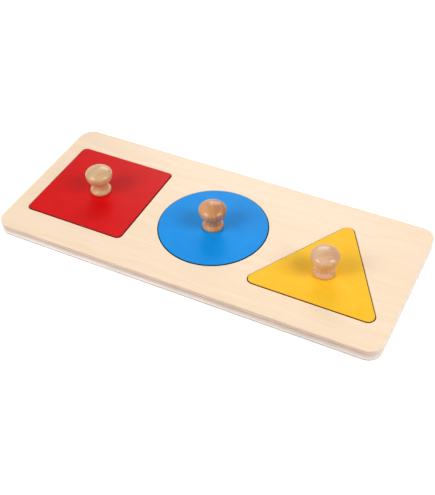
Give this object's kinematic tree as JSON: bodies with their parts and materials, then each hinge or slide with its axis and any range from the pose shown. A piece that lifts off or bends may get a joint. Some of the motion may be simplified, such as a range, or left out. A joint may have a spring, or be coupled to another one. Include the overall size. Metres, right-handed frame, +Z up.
{
  "type": "shape puzzle",
  "caption": "Flat wooden toddler puzzle: a plywood board whose square, round and triangular recesses hold painted insets that lift out by turned knobs.",
  "frame": {"origin": "centre of the board's flat underside", "axes": "+X along the board from the square to the triangle, +Y to the long edge that the triangle points at, +Z up out of the recesses"},
  "size_m": [0.2934, 0.1248, 0.0306],
  "materials": {
    "birch_face": "bare sanded light plywood, satin",
    "birch_back": "bare sanded light plywood, matt",
    "red_paint": "red satin paint on plywood",
    "blue_paint": "blue satin paint on plywood",
    "yellow_paint": "yellow satin paint on plywood",
    "pale_knob": "turned hardwood, clear lacquer",
    "tan_knob": "turned hardwood, clear lacquer",
    "rosy_knob": "turned hardwood, clear lacquer",
    "zinc_screw": "bright zinc plating"
  },
  "bodies": {
    "board": {"backing_board": "birch_back", "frame_board": "birch_face"},
    "square_piece": {"square_inset": "red_paint", "square_knob": "pale_knob", "square_knob_screw": "zinc_screw"},
    "circle_pivot": {"circle_knob_screw": "zinc_screw"},
    "circle_piece": {"circle_inset": "blue_paint", "circle_knob": "tan_knob"},
    "triangle_piece": {"triangle_inset": "yellow_paint", "triangle_knob": "rosy_knob", "triangle_knob_screw": "zinc_screw"}
  },
  "joints": [
    {"name": "square_lift", "type": "slide", "parent": "board", "child": "square_piece", "axis": [0, 0, 1], "range_m": [0, 0.05]},
    {"name": "circle_lift", "type": "slide", "parent": "board", "child": "circle_pivot", "axis": [0, 0, 1], "range_m": [0, 0.05]},
    {"name": "circle_spin", "type": "hinge", "parent": "circle_pivot", "child": "circle_piece", "pos_m": [0.00001, 0, 0.003], "axis": [0, 0, 1], "continuous": true},
    {"name": "triangle_lift", "type": "slide", "parent": "board", "child": "triangle_piece", "axis": [0, 0, 1], "range_m": [0, 0.05]}
  ]
}
